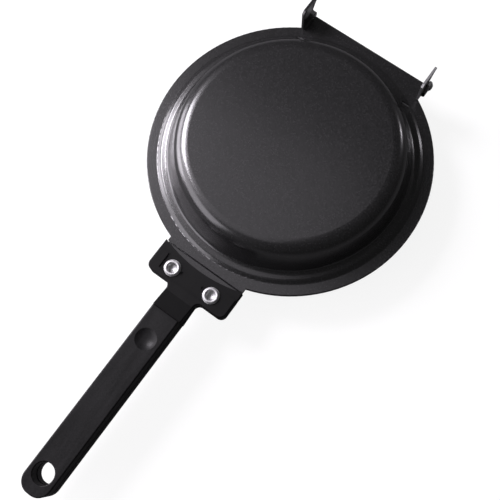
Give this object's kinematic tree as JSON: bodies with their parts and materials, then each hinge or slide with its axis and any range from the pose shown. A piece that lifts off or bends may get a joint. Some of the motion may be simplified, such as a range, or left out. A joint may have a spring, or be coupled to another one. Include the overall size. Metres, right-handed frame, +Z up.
{
  "type": "double sided flip pan",
  "caption": "Shallow round coated pans hinged face to face, each with a riveted half handle, so that food cooks on both sides when the shut pan is flipped.",
  "frame": {"origin": "centre of the lower pan's flat base, on its underside", "axes": "+Z up through both pans, handle towards -Y, hinge axis along X at the +Y end"},
  "size_m": [0.195, 0.3731, 0.0553],
  "materials": {
    "coated_steel": "black non-stick coating, semi-gloss",
    "handle_resin": "black phenolic moulding, satin",
    "rivet_metal": "bright",
    "washer_metal": "bright plated",
    "pin_metal": "plain",
    "magnet_metal": "nickel plated"
  },
  "bodies": {
    "lower_half": {"lower_pan": "coated_steel", "lower_handle": "handle_resin", "lower_rivets": "rivet_metal", "lower_rivet_washers": "washer_metal", "left_hinge_pin": "pin_metal", "right_hinge_pin": "pin_metal", "lower_magnet": "magnet_metal"},
    "upper_half": {"upper_pan": "coated_steel", "upper_handle": "handle_resin", "upper_rivets": "rivet_metal", "upper_rivet_washers": "washer_metal", "upper_magnet": "magnet_metal"}
  },
  "joints": [
    {"name": "opening_hinge", "type": "hinge", "parent": "lower_half", "child": "upper_half", "pos_m": [0, 0.0979, 0.02765], "axis": [-1, 0, 0], "range_deg": [0, 180]}
  ]
}
